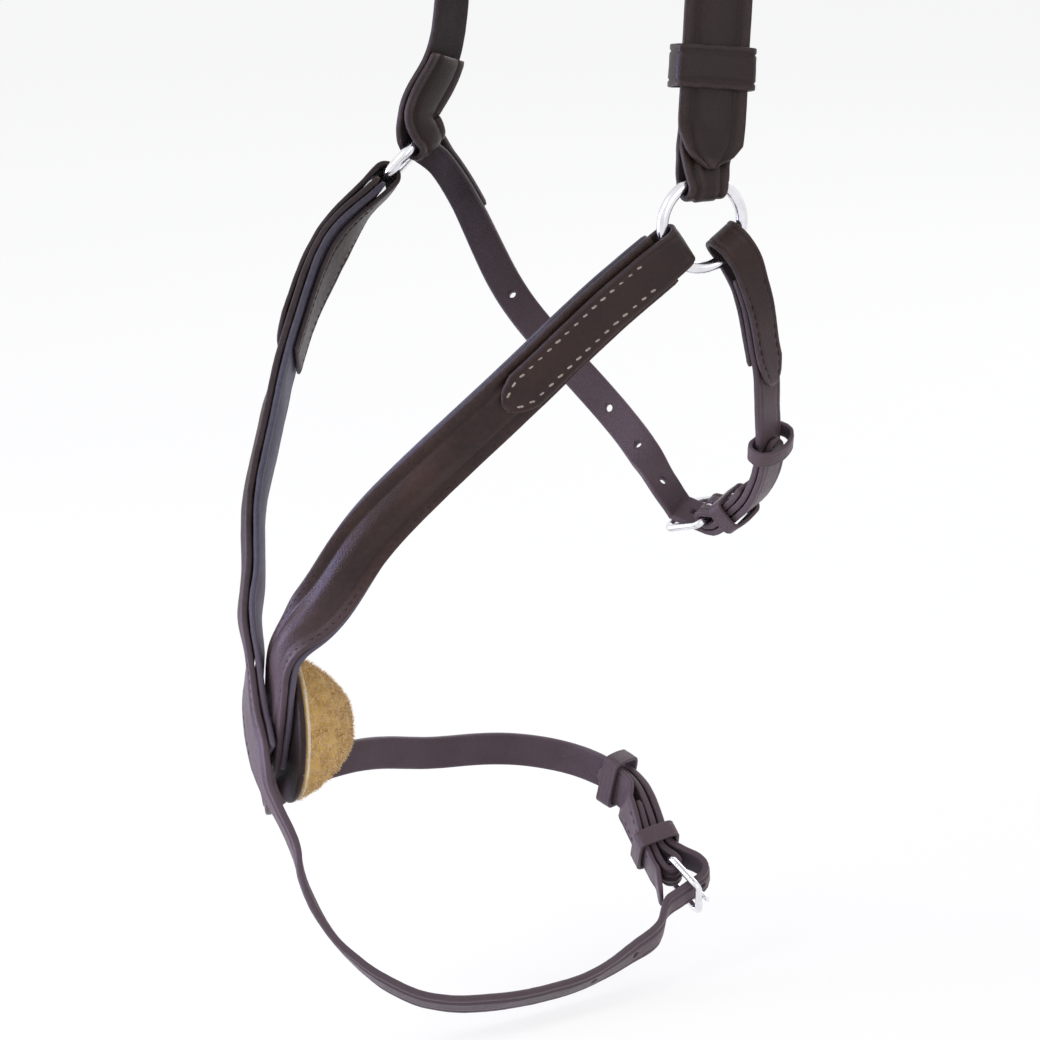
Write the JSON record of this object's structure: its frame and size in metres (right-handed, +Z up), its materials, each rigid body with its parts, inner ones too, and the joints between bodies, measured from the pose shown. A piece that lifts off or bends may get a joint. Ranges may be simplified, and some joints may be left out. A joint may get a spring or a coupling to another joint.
{
  "type": "figure eight noseband",
  "caption": "Leather figure eight noseband: crossed lined nose straps over a fleece nose pad, side rings, buckled headstrap, jaw strap and chin strap with keepers.",
  "frame": {"origin": "the middle of the underside of the headstrap's lining, where it rests on the poll behind the ears", "axes": "+X to the near side, where the buckles are; the front of the face looks to -Y; +Z up along the cheeks"},
  "size_m": [0.2179, 0.2022, 0.6332],
  "materials": {
    "brown_leather": "dark brown bridle leather, satin, bluish sheen on its edges",
    "lining_leather": "soft padded lining leather, matt",
    "bright_nickel": "bright polished nickel",
    "golden_fleece": "golden tan sheep fleece with a pale rim"
  },
  "bodies": {
    "root": {"near_ring_chape": "brown_leather", "near_front_strap": "brown_leather", "far_ring_chape": "brown_leather", "far_front_strap": "brown_leather", "chin_buckle_safe": "brown_leather", "chin_keeper_lower": "brown_leather", "near_cheek_strap": "brown_leather", "headstrap": "brown_leather", "cheek_keeper_upper": "brown_leather", "jaw_ring_chape": "brown_leather", "jaw_chape_strap": "brown_leather", "jaw_strap": "brown_leather", "jaw_keeper_lower": "brown_leather", "nose_disc": "brown_leather", "near_front_lining": "lining_leather", "far_front_lining": "lining_leather", "headstrap_lining": "lining_leather", "fleece_pad": "golden_fleece"},
    "near_ring": {"near_ring": "bright_nickel"},
    "far_ring": {"far_ring": "bright_nickel"},
    "cheek_frame": {"cheek_buckle_frame": "bright_nickel"},
    "cheek_tongue": {"cheek_buckle_tongue": "bright_nickel"},
    "jaw_frame": {"jaw_buckle_frame": "bright_nickel"},
    "jaw_tongue": {"jaw_buckle_tongue": "bright_nickel"},
    "chin_frame": {"chin_buckle_frame": "bright_nickel"},
    "chin_tongue": {"chin_buckle_tongue": "bright_nickel"},
    "cheek_runner": {"cheek_keeper_lower": "brown_leather"},
    "jaw_runner": {"jaw_keeper_upper": "brown_leather"},
    "chin_runner": {"chin_keeper_upper": "brown_leather"}
  },
  "joints": [
    {"name": "near_ring_turn", "type": "hinge", "parent": "root", "child": "near_ring", "pos_m": [0.094, -0.046, -0.3205], "axis": [0.9781, -0.2079, 0], "continuous": true},
    {"name": "far_ring_turn", "type": "hinge", "parent": "root", "child": "far_ring", "pos_m": [-0.094, -0.046, -0.3205], "axis": [-0.5643, -0.4912, 0.6636], "continuous": true},
    {"name": "cheek_buckle_lift", "type": "hinge", "parent": "root", "child": "cheek_frame", "pos_m": [0.08, -0.02756, -0.20883], "axis": [0.3885, 0.9152, -0.107], "range_deg": [0, 4]},
    {"name": "cheek_tongue_lift", "type": "hinge", "parent": "cheek_frame", "child": "cheek_tongue", "pos_m": [0.08, -0.02756, -0.20883], "axis": [0.3885, 0.9152, -0.107], "range_deg": [0, 6]},
    {"name": "jaw_buckle_lift", "type": "hinge", "parent": "root", "child": "jaw_frame", "pos_m": [0.05312, -0.00706, -0.44316], "axis": [0.1819, -0.8768, -0.4452], "range_deg": [0, 4]},
    {"name": "jaw_tongue_lift", "type": "hinge", "parent": "jaw_frame", "child": "jaw_tongue", "pos_m": [0.05312, -0.00706, -0.44316], "axis": [0.1819, -0.8768, -0.4452], "range_deg": [0, 6]},
    {"name": "chin_buckle_lift", "type": "hinge", "parent": "root", "child": "chin_frame", "pos_m": [0.02638, -0.00507, -0.59393], "axis": [0.5077, -0.4256, 0.749], "range_deg": [0, 4]},
    {"name": "chin_tongue_lift", "type": "hinge", "parent": "chin_frame", "child": "chin_tongue", "pos_m": [0.02638, -0.00507, -0.59393], "axis": [0.5077, -0.4256, 0.749], "range_deg": [0, 6]},
    {"name": "cheek_runner_slide", "type": "slide", "parent": "root", "child": "cheek_runner", "axis": [-0.1334, 0.1702, 0.9763], "range_m": [-0.003, 0.024]},
    {"name": "jaw_runner_slide", "type": "slide", "parent": "root", "child": "jaw_runner", "axis": [-0.4398, 0.3197, -0.8392], "range_m": [-0.004, 0.004]},
    {"name": "chin_runner_slide", "type": "slide", "parent": "root", "child": "chin_runner", "axis": [0.9319, 0.1977, -0.3042], "range_m": [-0.008, 0.001]}
  ]
}
